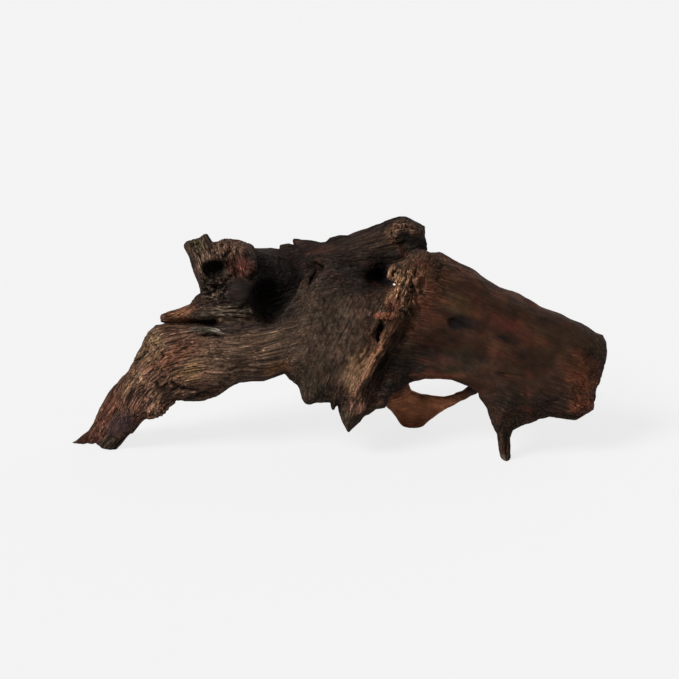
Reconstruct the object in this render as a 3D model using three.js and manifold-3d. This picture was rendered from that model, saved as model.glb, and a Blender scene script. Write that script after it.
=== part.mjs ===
// Driftwood: the root end of a small trunk, worn by water into one arched piece of wood.
// It stands on three points: a long leg on the left, a thin peg on the right and a root
// fin behind. A back wall with a burl and a broken branch stub rises behind a dark trough.
//
// Every form is drawn as it is seen from the front, a little from above: u runs to the
// right and v up on the picture plane, and w runs from that plane towards the viewer.
// The forms are blended as one distance field, which is then turned into a closed skin.
// All sizes are in millimetres. In the part's own frame +Z is up and -Y faces the viewer.

import * as THREE from "three";
import { mergeVertices } from "three/addons/utils/BufferGeometryUtils.js";
import Module from "manifold-3d";

// Driving dimensions: the whole piece's extents, and the size of the facets
const LENGTH = 372;
const DEPTH = 118;
const HEIGHT = 155;
const CELL = 5.5;
const WOOD_COLOUR = 0x4a362b;

// The view that the forms are drawn in
const VIEW_ELEVATION = THREE.MathUtils.degToRad(15);
const VIEW_DISTANCE = 1200;
const TARGET = [-0.75, -20.5, 79.3];
const TARGET_V = 84.3;

// The forms reach this far below the ground before they are cut off at it
const FOOT_DEPTH = 6;

// The relief of the skin: broad swells, and flutes that wander as they follow the grain
const SWELL = { depth: 0.45, pitch: 46 };
const FLUTE = { depth: 0.53, pitch: 10 };
const WANDER = [
  { aside: 3.2, along: 21, deep: 17 },
  { aside: 1.6, along: 9, deep: -13 },
];

// Each form's soft is how widely it blends into what it grows from. An outline's depths are
// [u, back, front] where v is at its level, they shift by lean for each step up or down, and
// its edges are rounded over its reach.

// The long left leg, the front of the body and the front leg in the middle
const ARM = {
  outline: [
    [-188, 11.5], [-176.5, 20], [-171.5, 27], [-165.5, 39], [-159, 50], [-150, 59.5],
    [-143.5, 70], [-138.5, 80], [-133.5, 90], [-129, 94.5], [-118, 95.5], [-100, 94],
    [-80, 95.5], [-60, 95],
    [-48, 96.5], [-38, 101], [-31, 109], [-26, 119], [-21, 130], [-16, 136], [-6, 137],
    [6, 133], [15, 127], [24, 121.5], [40, 121], [52, 114], [52, 100], [45, 86], [37, 73],
    [30, 60], [25, 48], [20, 36], [14, 26.5], [6, 19.5], [0.5, 30], [-0.5, 38],
    [-10, 40.5], [-21, 40], [-27, 46.5], [-29.3, 53], [-39, 60], [-52, 55.5], [-70, 54.5],
    [-78, 50.5], [-86, 44.5], [-94, 41.5], [-107, 41.5], [-120, 38], [-127, 33], [-134, 30],
    [-138, 25.5], [-143, 19], [-149, 12.5], [-154, 6], [-159, 0], [-166, 1], [-170, 10],
  ],
  depths: [
    [-187, -39, -32], [-165, -39, -22], [-140, -32, 0], [-100, -28, 14], [-55, -30, 20],
    [0, -30, 24], [45, -28, 27],
  ],
  reach: 17,
  lean: -0.1,
  level: 84,
};

// The heavy trunk on the right, whose left edge stands forward as a broken rim
const TRUNK = {
  outline: [
    [38, 121], [36, 127], [38, 133], [44, 139], [55, 143], [62, 145.5], [70, 145.5], [85, 137],
    [100, 129], [112, 121], [130, 114], [150, 104], [170, 96], [184.5, 87.5],
    [186.8, 78], [183.7, 60], [181.5, 50], [178, 35.5], [165, 27.5], [148, 29.5],
    [133, 25.5], [124, 24.5], [111, 23], [108, 27], [105, 36], [97, 47.5], [91, 51],
    [78, 55.7], [60, 56.7], [47, 53.5], [38, 48], [31.5, 37], [20, 33], [14, 42], [15, 55],
    [22, 68], [29, 78], [37, 88], [40, 97], [38, 108],
  ],
  depths: [
    [14, -24, 10], [45, -26, 24], [80, -27, 27], [120, -26, 23], [160, -22, 18],
    [186, -17, 12],
  ],
  reach: 21,
  lean: -0.14,
  level: 84,
  soft: 6,
};

// The back wall that rises behind the trough and ends in a knob on the right
const WALL = {
  outline: [
    [-66, 108], [-64, 148], [-50, 148], [-42, 147], [-41.5, 150], [-31.5, 150.5],
    [-32, 154.5], [-25, 154.5], [-18, 152.5], [-9, 153], [-6, 156], [6, 157.5],
    [15, 161], [29, 165], [37, 169], [46, 169.5], [55, 166], [59.5, 163.5], [59.5, 150],
    [60, 145], [66, 128], [58, 108], [0, 92], [-58, 94],
  ],
  depths: [
    [-66, -46, -22], [-35, -52, -29], [0, -50, -20], [30, -44, -14], [64, -36, -14],
  ],
  reach: 12,
  lean: -0.22,
  level: 84,
  soft: 8,
};

// The splintered ledge between the burl and the left leg
const LEDGE = {
  outline: [
    [-124.5, 97.5], [-124.5, 101.5], [-115, 105], [-104, 108.5], [-97, 113.5], [-84, 115],
    [-70, 112], [-58, 107], [-56, 102], [-64, 98.5], [-85, 97.5], [-105, 96.5],
  ],
  depths: [[-125, -20, -3], [-95, -26, 6], [-56, -30, 0]],
  reach: 6,
  lean: -0.3,
  level: 100,
  soft: 4,
};

// The root fin behind, which reaches back and down to the ground
const FIN = {
  outline: [
    [31, 39.5], [30, 48], [38, 55], [47, 54], [51, 49], [57, 46.3], [64, 45], [73, 44.5],
    [80, 45.8], [86, 48], [91, 52], [99, 56], [104, 49], [97, 46.5], [90, 43.5], [80, 38.5],
    [70, 32.5], [60, 25.5], [55, 19], [47, 19], [42, 26], [36, 35],
  ],
  depths: [[30, -82, -60], [50, -83, -64], [75, -76, -60], [104, -60, -42]],
  reach: 5,
  lean: 1.3,
  level: 22,
  soft: 5,
};

// The thin peg that the right side stands on
const PEG = {
  outline: [
    [100, 44], [105, 36], [107.5, 27], [110, 18], [110.5, 8], [112.5, -6], [121, -6],
    [120.3, 6], [119.7, 15], [121.5, 21], [127, 28], [128, 44],
  ],
  depths: [[100, -12, 18], [112, -2, 15], [120, -2, 14], [128, -10, 16]],
  reach: 4,
  lean: 0.15,
  level: 20,
  soft: 6,
};

// Round forms, each a run of [u, v, w, radius]
const BACK_RIB = {
  run: [[-120, 66, -20, 10], [-80, 84, -30, 11], [-30, 104, -38, 12]],
  soft: 14,
};
const BACK_BUTTRESS = {
  run: [[38, 140, -42, 9], [62, 120, -36, 12], [98, 98, -20, 15]],
  soft: 8,
};
const FIN_ROOT = { run: [[37, 49, -38, 8], [38, 64, -28, 12], [46, 84, -20, 15]], soft: 10 };
const BURL_ROOT = { run: [[-74, 137, -22, 11], [-48, 134, -42, 9]], soft: 6 };
const BACK_STUMP = {
  run: [[112, 86, -20, 15], [124, 84, -33, 11], [131, 82, -41, 8]],
  soft: 10,
};
const RIM = {
  run: [
    [54, 139, 10, 9], [45, 130, 20, 8], [44, 117, 25, 8.5], [38, 104, 27, 7.5],
    [35, 92, 27, 5.5], [29, 80, 26, 5.5], [21, 67, 24, 6], [15, 54, 20, 6],
    [12, 42, 16, 6], [8, 28, 10, 4],
  ],
  soft: 6,
};
const RIM_FINGER = { run: [[47, 132, 24, 6], [40, 132, 28, 5], [37, 128, 27, 3.2]], soft: 2.5 };
const RIM_SPUR = { run: [[36, 102, 30, 4.5], [25, 102, 29, 2.6]], soft: 2.5 };
const WALL_KNOB = {
  run: [[44, 160, -24, 8.5], [50, 157, -25, 8.5], [52, 148, -24, 9]],
  soft: 5,
};
const STUB = { run: [[-89, 126, -12, 9.5], [-95, 137, -10, 8.3], [-99.7, 147, -7, 9.2]], soft: 4 };
const FIN_TOE = { run: [[52, 30, -64, 8], [51, 22, -72, 7.5]], soft: 5 };

// Lumps, each [u, v, w] and its radii
const LUMP_SOFT = 5;
const LUMPS = [
  [[-78, 139, -12], [18, 13.5, 15]],
  [[-89, 124, -12], [8.5, 11, 14]],
  [[-95.3, 152, -7], [5, 6.5, 8]],
  [[-71, 118, -10], [14, 11, 14]],
  [[-71, 147, -20], [11, 6, 12]],
  [[-133, 37, -8], [8, 6.5, 9]],
  [[-21, 46, 8], [5, 7, 9]],
];

// Hollows, each [u, v, w] and its radii
const HOLLOW_SOFT = 4;
const HOLLOWS = [
  [[58, 69, 32], [44, 18, 25]],
  [[26, 50, 26], [13, 24, 14]],
  [[87, 99, 27], [14, 6, 9]],
  [[-47, 113, 4], [14, 20, 27]],
  [[-24, 130, -4], [15, 9, 12]],
  [[-75, 97, 6], [26, 2.6, 20]],
  [[29, 128, 4], [9, 6, 26]],
  [[38.5, 123, -20], [2.4, 2.4, 60]],
  [[-91, 131, 4], [7, 6, 7]],
  [[-20, 62, -36], [60, 16, 22]],
  [[120, 62, -34], [48, 13, 17]],
];

// The line that the grain follows, from the left foot over the arch to the right end
const GRAIN_LINE = [
  [-186, 4], [-160, 34], [-140, 62], [-112, 76], [-60, 80], [0, 96], [60, 104], [120, 84],
  [190, 56],
];
const GRAIN_SPREAD = 12;

const TURN = 2 * Math.PI;
const clamp = THREE.MathUtils.clamp;

// The distance from [u, v] to a closed outline, negative inside it
function outlineDistance(outline, u, v) {
  let nearest = Infinity;
  let inside = false;
  for (let i = 0, j = outline.length - 1; i < outline.length; j = i++) {
    const [au, av] = outline[j];
    const [bu, bv] = outline[i];
    const du = bu - au;
    const dv = bv - av;
    const t = clamp(((u - au) * du + (v - av) * dv) / (du * du + dv * dv), 0, 1);
    nearest = Math.min(nearest, Math.hypot(u - au - t * du, v - av - t * dv));
    if (av > v !== bv > v && u < au + ((v - av) / dv) * du) inside = !inside;
  }
  return inside ? -nearest : nearest;
}

// A smooth curve through the stations' back and front depths, read at u
function depthsAt(stations, u) {
  const last = stations.length - 1;
  let i = 0;
  while (i < last - 1 && u > stations[i + 1][0]) i++;
  const [before, start, end, after] = [i - 1, i, i + 1, i + 2].map(
    (k) => stations[clamp(k, 0, last)],
  );
  const t = clamp((u - start[0]) / (end[0] - start[0]), 0, 1);
  return [1, 2].map((k) => {
    const leave = (end[k] - before[k]) / 2;
    const arrive = (after[k] - start[k]) / 2;
    const rise = end[k] - start[k];
    return start[k] + t * (leave + t * (3 * rise - 2 * leave - arrive
      + t * (leave + arrive - 2 * rise)));
  });
}

// A solid with the outline's silhouette, whose edges round off over the form's reach
function pillow(form, u, v, w) {
  const [back, front] = depthsAt(form.depths, u);
  const lean = form.lean * (v - form.level);
  const half = (front - back) / 2;
  const edge = Math.max(outlineDistance(form.outline, u, v) + form.reach, 0);
  const deep = (Math.abs(w - (back + front) / 2 - lean) * form.reach) / half;
  return (Math.hypot(edge, deep) - form.reach) * Math.min(1, half / form.reach);
}

// A run of balls joined by cones
function limb({ run }, u, v, w) {
  let nearest = Infinity;
  for (let i = 1; i < run.length; i++) {
    const [a, b] = [run[i - 1], run[i]];
    const d = [b[0] - a[0], b[1] - a[1], b[2] - a[2]];
    const p = [u - a[0], v - a[1], w - a[2]];
    const along = p[0] * d[0] + p[1] * d[1] + p[2] * d[2];
    const t = clamp(along / (d[0] * d[0] + d[1] * d[1] + d[2] * d[2]), 0, 1);
    const away = Math.hypot(p[0] - t * d[0], p[1] - t * d[1], p[2] - t * d[2]);
    nearest = Math.min(nearest, away - a[3] - t * (b[3] - a[3]));
  }
  return nearest;
}

// An ellipsoid
function lump([centre, radii], u, v, w) {
  const p = [u - centre[0], v - centre[1], w - centre[2]].map((x, i) => x / radii[i]);
  const size = Math.hypot(...p);
  return (size * (size - 1)) / Math.max(Math.hypot(...p.map((x, i) => x / radii[i])), 1e-6);
}

// Joins two forms, with a fillet where their surfaces meet
function blend(a, b, soft) {
  const near = Math.max(soft - Math.abs(a - b), 0) / soft;
  return Math.min(a, b) - (near * near * soft) / 4;
}

const grow = (d, form, ...at) => blend(d, (form.run ? limb : pillow)(form, ...at), form.soft);

// How far [u, v] lies along the grain and to the side of it
function grainPlace(u, v) {
  let [sum, along, aside, from] = [0, 0, 0, 0];
  for (let i = 1; i < GRAIN_LINE.length; i++) {
    const [a, b] = [GRAIN_LINE[i - 1], GRAIN_LINE[i]];
    const [du, dv] = [b[0] - a[0], b[1] - a[1]];
    const length = Math.hypot(du, dv);
    const t = ((u - a[0]) * du + (v - a[1]) * dv) / (length * length);
    const held = clamp(t, 0, 1);
    const away = Math.hypot(u - a[0] - held * du, v - a[1] - held * dv);
    const weight = Math.exp(-away / GRAIN_SPREAD) + 1e-9;
    sum += weight;
    along += weight * (from + t * length);
    aside += (weight * ((v - a[1]) * du - (u - a[0]) * dv)) / length;
    from += length;
  }
  return [along / sum, aside / sum];
}

// How far the skin stands out at a point
function relief(u, v, w) {
  const swell = Math.sin((u * 1.1 + w) * (TURN / SWELL.pitch))
    + Math.sin((v * 1.3 - w * 0.7 + 20) * (TURN / SWELL.pitch))
    + Math.sin((w * 1.4 + u * 0.6 + v * 0.5) * (TURN / SWELL.pitch));
  const [along, aside] = grainPlace(u, v);
  const wander = WANDER.reduce(
    (sum, wave) => sum + wave.aside * Math.sin(along / wave.along + w / wave.deep),
    0,
  );
  const across = ((aside + wander) / FLUTE.pitch) * TURN;
  const inward = ((w + wander) / FLUTE.pitch) * TURN * 0.8;
  const flute = Math.sin(across + 0.9 * Math.sin(w / 6)) + 0.7 * Math.sin(inward + 1.3);
  return SWELL.depth * swell + FLUTE.depth * flute;
}

// The whole piece of wood on the picture plane's coordinates, negative inside
function woodAt(u, v, w) {
  const at = [u, v, w];
  let d = pillow(ARM, ...at);
  for (const form of [TRUNK, WALL, BACK_RIB, BACK_BUTTRESS, FIN_ROOT, LEDGE, BURL_ROOT])
    d = grow(d, form, ...at);
  for (const one of LUMPS) d = blend(d, lump(one, ...at), LUMP_SOFT);
  for (const hollow of HOLLOWS) d = -blend(-d, lump(hollow, ...at), HOLLOW_SOFT);
  for (const form of [BACK_STUMP, RIM, RIM_FINGER, RIM_SPUR, WALL_KNOB, STUB])
    d = grow(d, form, ...at);
  d -= relief(...at);
  for (const form of [PEG, FIN, FIN_TOE]) d = grow(d, form, ...at);
  return d;
}

// The same field at a point of the part's own frame, seen from the viewer's eye
function fieldAt(x, y, z) {
  const [sin, cos] = [Math.sin(VIEW_ELEVATION), Math.cos(VIEW_ELEVATION)];
  const back = y - TARGET[1];
  const up = z - TARGET[2];
  const w = up * sin - back * cos;
  const near = VIEW_DISTANCE / (VIEW_DISTANCE - w);
  const d = woodAt((x - TARGET[0]) * near, (back * sin + up * cos) * near + TARGET_V, w);
  return Math.max(d, -FOOT_DEPTH - z);
}

// The field's values on a grid of cells round the wood
function sampleField(low, count) {
  const values = new Float32Array(count[0] * count[1] * count[2]);
  let n = 0;
  for (let k = 0; k < count[2]; k++)
    for (let j = 0; j < count[1]; j++)
      for (let i = 0; i < count[0]; i++)
        values[n++] = fieldAt(low[0] + i * CELL, low[1] + j * CELL, low[2] + k * CELL);
  return values;
}

const JUST_INSIDE = -0.05;

// Fills in the corner that makes a face of the grid touch itself only along a diagonal
function settleFaces(values, count) {
  const step = [1, count[0], count[0] * count[1]];
  const pairs = [[0, 1], [0, 2], [1, 2]];
  for (let changed = true; changed;) {
    changed = false;
    for (let n = 0; n + step[2] + step[1] < values.length; n++)
      for (const [a, b] of pairs) {
        const face = [n, n + step[a], n + step[a] + step[b], n + step[b]];
        const [p, q, r, s] = face.map((m) => values[m] < 0);
        if (p !== r || q !== s || p === q) continue;
        const outside = face.filter((m) => values[m] >= 0);
        outside.sort((one, two) => values[one] - values[two]);
            values[outside[0]] = JUST_INSIDE;
        changed = true;
      }
  }
}

// One point for each cell that the skin crosses, and a quad for each grid edge it crosses
function skin(low, count) {
  const values = sampleField(low, count);
  settleFaces(values, count);
  const step = [1, count[0], count[0] * count[1]];
  const corners = [0, 1, 2, 3, 4, 5, 6, 7].map((c) => [c & 1, (c >> 1) & 1, c >> 2]);
  const pointOf = new Int32Array(values.length).fill(-1);
  const points = [];
  const triangles = [];
  for (let k = 0; k < count[2] - 1; k++)
    for (let j = 0; j < count[1] - 1; j++)
      for (let i = 0; i < count[0] - 1; i++) {
        const n = i + j * step[1] + k * step[2];
        const at = corners.map((c) => values[n + c[0] + c[1] * step[1] + c[2] * step[2]]);
        if (at.every((x) => x < 0) || at.every((x) => x >= 0)) continue;
        const sum = [0, 0, 0];
        let crossings = 0;
        for (let a = 0; a < 8; a++)
          for (let axis = 0; axis < 3; axis++) {
            if (corners[a][axis]) continue;
            const b = a | (1 << axis);
            if (at[a] < 0 === at[b] < 0) continue;
            const t = at[a] / (at[a] - at[b]);
            for (let m = 0; m < 3; m++) sum[m] += corners[a][m] + (m === axis ? t : 0);
            crossings++;
          }
        pointOf[n] = points.length / 3;
        points.push(...[i, j, k].map((c, m) => low[m] + (c + sum[m] / crossings) * CELL));
      }
  for (let k = 1; k < count[2] - 1; k++)
    for (let j = 1; j < count[1] - 1; j++)
      for (let i = 1; i < count[0] - 1; i++)
        for (let axis = 0; axis < 3; axis++) {
          const n = i + j * step[1] + k * step[2];
          const inside = values[n] < 0;
          if (inside === values[n + step[axis]] < 0) continue;
          const [p, q] = [step[(axis + 1) % 3], step[(axis + 2) % 3]];
          const quad = [n, n - p, n - p - q, n - q].map((m) => pointOf[m]);
          if (inside) quad.reverse();
          triangles.push(quad[0], quad[2], quad[1], quad[0], quad[3], quad[2]);
        }
  return { points, triangles };
}

// Cuts the skin off at the ground, which leaves a flat spot under each of the three feet
async function standOnGround({ points, triangles }) {
  const wasm = await Module();
  wasm.setup();
  const solid = (positions, indices) =>
    new wasm.Manifold(new wasm.Mesh({
      numProp: 3,
      vertProperties: new Float32Array(positions),
      triVerts: new Uint32Array(indices),
    }));
  const ground = new THREE.BoxGeometry(2 * LENGTH, 2 * LENGTH, HEIGHT);
  ground.translate(0, 0, -HEIGHT / 2);
  ground.deleteAttribute("normal");
  ground.deleteAttribute("uv");
  const slab = mergeVertices(ground);
  const wood = solid(points, triangles)
    .subtract(solid(slab.attributes.position.array, slab.index.array));
  const largest = wood.decompose().sort((a, b) => b.volume() - a.volume())[0];
  return largest.getMesh();
}

const MARGIN = 3 * CELL;
const LOW = [-LENGTH / 2 - MARGIN, -DEPTH / 2 - MARGIN, -MARGIN];
const COUNT = [LENGTH, DEPTH, HEIGHT].map((size) => Math.ceil((size + 2 * MARGIN) / CELL) + 1);
const cut = await standOnGround(skin(LOW, COUNT));
const geometry = new THREE.BufferGeometry()
  .setAttribute("position", new THREE.BufferAttribute(cut.vertProperties, 3))
  .setIndex(new THREE.BufferAttribute(cut.triVerts, 1));
geometry.computeVertexNormals();

const wood = new THREE.MeshStandardMaterial({
  color: WOOD_COLOUR,
  roughness: 0.85,
  metalness: 0,
});
const driftwood = new THREE.Mesh(geometry, wood);
driftwood.name = "driftwood";

const part = new THREE.Group();
part.add(driftwood);
export default part;
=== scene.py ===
# Driftwood: the root end of a small trunk, worn by water into one arched piece of dark wood.
# It stands on a long leg, a thin peg and a root fin, and it is one piece, so every section
# below adds its own forms, hollows, stains, painted shade and painted light, and "The skin" turns them
# into one mesh.
# Places are millimetres, as a viewer in front and a little above sees them: u runs to the
# right and v up on a plane through the wood, and w from that plane towards the viewer.

import math

import bpy
import numpy as np
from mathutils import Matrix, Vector
from mathutils.kdtree import KDTree


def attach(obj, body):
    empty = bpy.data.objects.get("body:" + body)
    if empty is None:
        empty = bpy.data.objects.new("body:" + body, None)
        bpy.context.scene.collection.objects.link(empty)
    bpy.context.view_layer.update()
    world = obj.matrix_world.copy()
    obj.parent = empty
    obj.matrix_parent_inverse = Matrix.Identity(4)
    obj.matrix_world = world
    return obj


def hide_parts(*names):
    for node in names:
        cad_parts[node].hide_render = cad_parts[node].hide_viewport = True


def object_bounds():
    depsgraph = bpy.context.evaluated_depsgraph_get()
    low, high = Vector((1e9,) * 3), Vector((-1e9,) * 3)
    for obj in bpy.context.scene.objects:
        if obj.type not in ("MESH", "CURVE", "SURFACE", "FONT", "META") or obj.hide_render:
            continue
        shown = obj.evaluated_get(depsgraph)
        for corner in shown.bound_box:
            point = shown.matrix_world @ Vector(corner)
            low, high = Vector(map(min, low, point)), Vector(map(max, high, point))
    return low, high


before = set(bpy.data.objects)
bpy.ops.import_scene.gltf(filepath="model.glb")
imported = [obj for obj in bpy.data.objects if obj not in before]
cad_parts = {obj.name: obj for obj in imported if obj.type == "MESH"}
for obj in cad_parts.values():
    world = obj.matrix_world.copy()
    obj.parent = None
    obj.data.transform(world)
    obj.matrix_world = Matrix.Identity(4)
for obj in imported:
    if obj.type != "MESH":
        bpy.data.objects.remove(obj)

cad_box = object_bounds()


# The long leg and the body
# The leg is a root that ran down from the trunk, worn to deep ridges, with a ragged foot.
# It carries on as the front of the body, as far as the rim, and down as a short middle leg.

# Depths are places along u, with the back and the front there. The edges round off over the
# reach, and the middle of the form leans back or forwards as it rises from its level.
LEG = {
    "outline": [
        (-190, 11), (-182, 15.5), (-176.5, 20), (-171.5, 27), (-169, 34), (-165.5, 39.5),
        (-159, 50), (-150, 59.5), (-143.5, 70), (-138.5, 80), (-133.5, 90), (-129, 94.5),
        (-118, 95.5), (-100, 94), (-80, 95.5), (-60, 95), (-48, 96.5), (-38, 101), (-31, 109),
        (-26, 119), (-21, 130), (-16, 136), (-6, 137), (6, 133), (15, 127), (24, 121.5),
        (40, 121), (52, 114), (52, 100), (45, 86), (37, 73), (30, 60), (25, 48), (20, 36),
        (14, 27.2), (6, 19.8), (2.5, 27), (0.5, 34), (-0.5, 39), (-3, 37.5), (-4.2, 34.5),
        (-6, 40.5), (-10, 40.5), (-21, 40), (-27, 46.5), (-29.3, 53), (-34, 56.5), (-39, 60.5),
        (-45, 58), (-52, 56), (-70, 54.5), (-78, 50.5), (-86, 45), (-94, 41.8), (-107, 41.5),
        (-112, 42.8), (-120, 38), (-127, 33.3), (-135.5, 30.5), (-139.5, 26), (-144.6, 19),
        (-151, 13), (-156, 7), (-158, 0), (-166, 0), (-168.5, 9), (-170.5, 11.4),
        (-174, 10.4), (-177, 12), (-180, 10.2), (-184, 11),
    ],
    "depths": [
        (-187, -39, -32), (-165, -39, -22), (-140, -32, 0), (-100, -28, 14), (-55, -30, 20),
        (0, -30, 24), (45, -28, 27),
    ],
    "reach": 17,
    "lean": -0.1,
    "level": 84,
}
# A lump is its middle and its radii, and a hollow also says how soft its lip is
LUMP_SOFT = 4
LEG_LUMPS = [
    ((-131, 36.5, -7), (10, 6.5, 10)),
    ((-21, 46, 8), (5, 7, 9)),
]


def row(soft, *balls):
    """A row of balls, each u, v, w and a radius, which joins the wood with a soft fillet."""
    return {"balls": balls, "soft": soft}


FOOT_BLOCK = row(2, (-163, 15, -21, 4.6), (-162, 5, -19.5, 4.2))
LEG_HOLLOWS = [
    ((-114.4, 41, 0), (2, 2, 40), 0.5),
    ((-175.8, 9.4, -28), (1.8, 1.5, 30), 0.5),
    ((-181.6, 9.6, -30), (1.2, 1.3, 30), 0.5),
]
BODY_CREST = row(
    6,
    (-40, 100, 8, 1.8), (-31.5, 108.5, 2, 2.4), (-26.5, 118, -3, 2.6), (-21, 128.5, -8, 2.6),
    (-19, 131.5, -10, 2.2),
)
LEG_GRAIN = [
    (-186, 4), (-160, 34), (-140, 62), (-112, 76), (-60, 80), (0, 96), (60, 112), (120, 120),
]
DARK_WOOD = (56, 42, 33)
# A stain, or a patch of painted shade or painted light, is its middle, its size, its turn in degrees,
# its colour and how much it shows
LEG_STAINS_AND_PAINTED_SHADE = [
    ((-150, 52, -8), (36, 48, 60), 0, (71, 49, 38), 0.9),
    ((-112, 68, 0), (46, 34, 60), 15, (77, 55, 42), 0.9),
    ((-60, 76, 10), (50, 26, 50), 10, (83, 64, 51), 0.8),
    ((-163, 36, -8), (8, 20, 40), -35, (82, 48, 35), 0.6),
    ((-118, 72, 0), (26, 9, 40), 20, (90, 57, 42), 0.6),
    ((-172, 15, -24), (13, 7, 40), 30, (74, 42, 33), 0.7),
    ((-154, 24, -14), (14, 9, 40), 45, (46, 34, 35), 0.8),
    ((-162, 10, -20), (10, 7, 40), 0, (40, 32, 25), 0.8),
    ((-128, 36, -4), (12, 4.5, 30), 38, (118, 86, 67), 0.75),
    ((-104, 62, 4), (16, 7, 30), 20, (110, 84, 56), 0.5),
    ((-110, 44, 2), (26, 5, 30), 8, (50, 36, 28), 0.6),
    ((-133, 80, -4), (15, 12, 40), 50, (86, 69, 49), 0.6),
    ((-143, 56, -8), (18, 3.4, 40), 52, (104, 81, 61), 0.6),
    ((-25, 120, -2), (20, 4, 20), 62, (64, 48, 36), 0.6),
    ((-44, 64, 12), (12, 5, 30), 20, (112, 74, 46), 0.6),
    ((-54, 78, 16), (1.9, 0.9, 20), 20, (220, 190, 150), 0.95),
    ((-16, 57, 18), (14, 18, 40), 0, (44, 38, 27), 0.65),
    ((-15, 100, 18), (34, 30, 50), 30, (60, 48, 38), 0.8),
    # Painted shade: the top of the body is darkened along the trough below the wall
    ((4, 130, 8), (34, 17, 44), -6, (36, 27, 23), 0.9),
    # Painted shadow: a dark band on the body under the ledge's overhang
    ((-80, 92, 10), (34, 5, 30), 2, (44, 36, 34), 0.7),
]


def tangent(points, k, rise):
    """The slope at station k of a smooth curve through the stations."""
    before = points[max(k - 1, 0)]
    after = points[min(k + 1, len(points) - 1)]
    return (after[rise] - before[rise]) / 2


def depths_at(stations, u):
    """A form's back and front at u, on a smooth curve through its stations."""
    places = np.array([station[0] for station in stations], dtype=float)
    first = np.clip(np.searchsorted(places, u) - 1, 0, len(places) - 2)
    t = np.clip((u - places[first]) / (places[first + 1] - places[first]), 0, 1)
    sides = []
    for k in (1, 2):
        value = np.array([station[k] for station in stations], dtype=float)
        slope = np.array([tangent(stations, i, k) for i in range(len(stations))])
        rise = value[first + 1] - value[first]
        leave, arrive = slope[first], slope[first + 1]
        bend = t * (3 * rise - 2 * leave - arrive + t * (leave + arrive - 2 * rise))
        sides.append(value[first] + t * (leave + bend))
    return sides


# A map of the plane round the wood: its low corner, its step and how many places it has
MAP_LOW = (-205.0, -20.0)
MAP_STEP = 0.75
MAP_COUNT = (547, 267)
BEFORE_THE_LAST = 1.001


def outline_map(outline):
    """The signed distance to a closed outline, negative inside, on a grid of the picture plane."""
    u = (MAP_LOW[0] + MAP_STEP * np.arange(MAP_COUNT[0]))[:, None]
    v = (MAP_LOW[1] + MAP_STEP * np.arange(MAP_COUNT[1]))[None, :]
    nearest = np.full(MAP_COUNT, np.inf)
    inside = np.zeros(MAP_COUNT, dtype=bool)
    for (au, av), (bu, bv) in zip(outline, outline[1:] + outline[:1]):
        du, dv = bu - au, bv - av
        t = np.clip(((u - au) * du + (v - av) * dv) / (du * du + dv * dv), 0, 1)
        nearest = np.minimum(nearest, np.hypot(u - au - t * du, v - av - t * dv))
        if dv != 0:
            inside ^= ((av > v) != (bv > v)) & (u < au + (v - av) / dv * du)
    return np.where(inside, -nearest, nearest)


def read_map(grid, u, v):
    """A map's value between its grid points."""
    x = np.clip((u - MAP_LOW[0]) / MAP_STEP, 0, MAP_COUNT[0] - BEFORE_THE_LAST)
    y = np.clip((v - MAP_LOW[1]) / MAP_STEP, 0, MAP_COUNT[1] - BEFORE_THE_LAST)
    i, j = x.astype(int), y.astype(int)
    x, y = x - i, y - j
    low = grid[i, j] * (1 - y) + grid[i, j + 1] * y
    high = grid[i + 1, j] * (1 - y) + grid[i + 1, j + 1] * y
    return low * (1 - x) + high * x


def pillow(form, u, v, w):
    """A solid with the outline's silhouette, whose edges round off over the form's reach."""
    if "map" not in form:
        form["map"] = outline_map(form["outline"])
    back, front = depths_at(form["depths"], u)
    half = (front - back) / 2
    middle = (front + back) / 2 + form["lean"] * (v - form["level"])
    edge = np.maximum(read_map(form["map"], u, v) + form["reach"], 0)
    deep = np.abs(w - middle) * form["reach"] / half
    return (np.hypot(edge, deep) - form["reach"]) * np.minimum(1, half / form["reach"])


def lump(one, u, v, w):
    """An ellipsoid."""
    centre, radii = one
    p = [(x - c) / r for x, c, r in zip((u, v, w), centre, radii)]
    size = np.sqrt(p[0] ** 2 + p[1] ** 2 + p[2] ** 2)
    steep = np.sqrt(sum((x / r) ** 2 for x, r in zip(p, radii)))
    return size * (size - 1) / np.maximum(steep, 1e-6)


def blend(a, b, soft):
    """Joins two forms, with a fillet where their surfaces meet."""
    near = np.maximum(soft - np.abs(a - b), 0) / soft
    return np.minimum(a, b) - near * near * soft / 4


# The trunk
# The heavy end of the piece, smoother than the leg, which broke off on the right. Its face
# is scooped into a dark hollow beside the rim, and a worn branch stump stands on its back.
TRUNK = {
    "outline": [
        (38, 121), (36, 127), (38, 133), (44, 139), (55, 143), (62, 145.5), (70, 145.5),
        (78, 141), (85, 137), (93, 133.2), (100, 129), (106, 124.6), (112, 121), (121, 118.3),
        (130, 114), (140, 108), (150, 104), (160, 100.4), (170, 96), (178, 91), (184.5, 87.5),
        (186.5, 82), (186.8, 76), (185.8, 68), (183.7, 60), (182.5, 54), (180, 50),
        (179.3, 43), (177.5, 35.5), (174, 32.5), (165, 28), (155, 29), (148, 30), (141, 29),
        (133, 25.8), (124, 24.8), (111, 23), (108, 27), (105, 36), (97, 47.5), (91, 51),
        (78, 55.7), (60, 56.9), (52, 55.5), (47, 53.5), (38, 48), (31.5, 37), (25, 36),
        (20, 33), (14, 42), (15, 55), (22, 68), (29, 78), (37, 88), (40, 97), (38, 108),
    ],
    "depths": [
        (14, -24, 10), (45, -26, 24), (80, -27, 27), (120, -26, 23), (160, -22, 18),
        (186, -17, 12),
    ],
    "reach": 21,
    "lean": -0.14,
    "level": 84,
    "soft": 6,
}
BACK_STUMP = row(10, (112, 86, -20, 15), (124, 84, -33, 11), (131, 82, -41, 8))
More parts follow.
